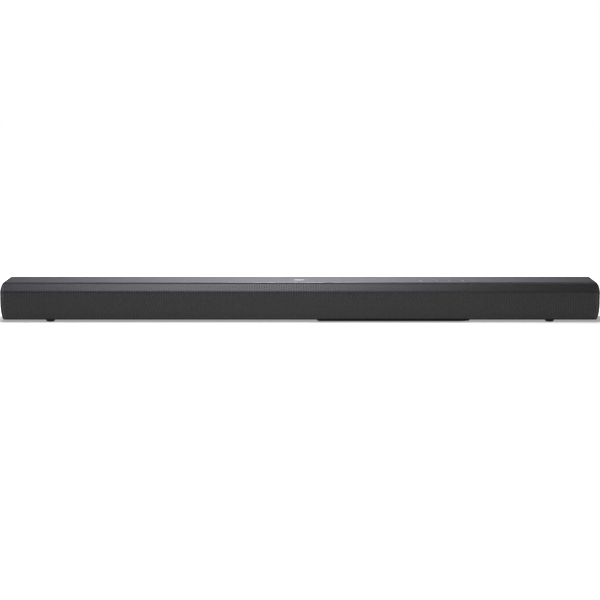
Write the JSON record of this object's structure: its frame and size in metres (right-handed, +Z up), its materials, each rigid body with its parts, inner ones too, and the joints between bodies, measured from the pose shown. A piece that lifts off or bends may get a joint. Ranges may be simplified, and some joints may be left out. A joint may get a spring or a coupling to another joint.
{
  "type": "soundbar",
  "caption": "Low, wide television soundbar with a folded perforated grille over a bevelled front, keys on top, rear sockets, keyhole wall plates and rubber feet.",
  "frame": {"origin": "middle of the footprint, on the surface that the feet stand on", "axes": "+X along the bar to the right as seen from the front, +Y from the front to the back, +Z up"},
  "size_m": [0.9, 0.086, 0.06],
  "materials": {
    "grille": "fine satin charcoal paint on perforated steel sheet",
    "cover": "fine-textured satin charcoal plastic",
    "keys": null,
    "cabinet": "spark-textured black plastic",
    "end_caps": "satin black plastic",
    "tray": "satin black plastic",
    "badge": "plain brushed pale metal with no marks",
    "rubber": "matte black",
    "steel": "zinc-plated",
    "dark_steel": "blackened steel",
    "board": "green circuit board with dark components",
    "socket": "matte black moulding",
    "smoked": "smoked dark plastic that lets an indicator through",
    "ferrite": "dark ferrite with yellow tape",
    "aluminium": "extruded, bare",
    "paper": "pressed black paper pulp",
    "surround": "soft black rubber",
    "cloth": "resin-treated woven cloth",
    "silk": "coated black silk",
    "cable": "black insulated twin lead"
  },
  "bodies": {
    "casing": {"top_cover": "cover", "rear_cabinet": "cabinet", "front_baffle": "cabinet", "front_grille": "grille", "left_end_cap": "end_caps", "right_end_cap": "end_caps", "electronics_tray": "tray", "top_badge": "badge", "connector_panel": "cabinet", "left_wall_plate": "steel", "right_wall_plate": "steel", "left_rear_insert": "cabinet", "right_rear_insert": "cabinet", "front_left_foot": "rubber", "front_left_case_screw": "dark_steel", "front_left_tray_screw": "dark_steel", "front_right_foot": "rubber", "front_right_case_screw": "dark_steel", "front_right_tray_screw": "dark_steel", "rear_left_foot": "rubber", "rear_left_case_screw": "dark_steel", "rear_left_tray_screw": "dark_steel", "rear_right_foot": "rubber", "rear_right_case_screw": "dark_steel", "rear_right_tray_screw": "dark_steel", "key_board": "board", "indicator_board": "board", "light_guide": "smoked", "video_socket": "steel", "service_socket": "steel", "optical_socket": "socket", "audio_socket": "socket", "power_inlet": "socket", "main_board": "board", "power_board": "board", "transformer": "ferrite", "amplifier_heat_sink": "aluminium", "left_woofer_frame": "dark_steel", "left_woofer_magnet": "steel", "left_woofer_surround": "surround", "left_woofer_spider": "cloth", "left_tweeter_frame": "dark_steel", "left_speaker_lead": "cable", "right_woofer_frame": "dark_steel", "right_woofer_magnet": "steel", "right_woofer_surround": "surround", "right_woofer_spider": "cloth", "right_tweeter_frame": "dark_steel", "right_speaker_lead": "cable"},
    "power_key": {"power_key": "keys"},
    "volume_down_key": {"volume_down_key": "keys"},
    "volume_up_key": {"volume_up_key": "keys"},
    "source_key": {"source_key": "keys"},
    "optical_shutter": {"optical_shutter": "socket"},
    "left_woofer_cone": {"left_woofer_cone": "paper"},
    "right_woofer_cone": {"right_woofer_cone": "paper"},
    "left_tweeter_dome": {"left_tweeter_dome": "silk"},
    "right_tweeter_dome": {"right_tweeter_dome": "silk"}
  },
  "joints": [
    {"name": "power_key_press", "type": "slide", "parent": "casing", "child": "power_key", "axis": [0, 0, -1], "range_m": [0, 0.0005], "stiffness_N_per_m": 3000},
    {"name": "volume_down_key_press", "type": "slide", "parent": "casing", "child": "volume_down_key", "axis": [0, 0, -1], "range_m": [0, 0.0005], "stiffness_N_per_m": 3000},
    {"name": "volume_up_key_press", "type": "slide", "parent": "casing", "child": "volume_up_key", "axis": [0, 0, -1], "range_m": [0, 0.0005], "stiffness_N_per_m": 3000},
    {"name": "source_key_press", "type": "slide", "parent": "casing", "child": "source_key", "axis": [0, 0, -1], "range_m": [0, 0.0005], "stiffness_N_per_m": 3000},
    {"name": "optical_shutter_swing", "type": "hinge", "parent": "casing", "child": "optical_shutter", "pos_m": [0.094, 0.0366, 0.0264], "axis": [-1, 0, 0], "range_deg": [0, 80], "stiffness_Nm_per_rad": 0.001},
    {"name": "left_woofer_travel", "type": "slide", "parent": "casing", "child": "left_woofer_cone", "axis": [0, 1, 0], "range_m": [-0.002, 0.002], "stiffness_N_per_m": 1500},
    {"name": "right_woofer_travel", "type": "slide", "parent": "casing", "child": "right_woofer_cone", "axis": [0, 1, 0], "range_m": [-0.002, 0.002], "stiffness_N_per_m": 1500},
    {"name": "left_tweeter_travel", "type": "slide", "parent": "casing", "child": "left_tweeter_dome", "axis": [0, 1, 0], "range_m": [-0.0003, 0.0003], "stiffness_N_per_m": 6000},
    {"name": "right_tweeter_travel", "type": "slide", "parent": "casing", "child": "right_tweeter_dome", "axis": [0, 1, 0], "range_m": [-0.0003, 0.0003], "stiffness_N_per_m": 6000}
  ]
}
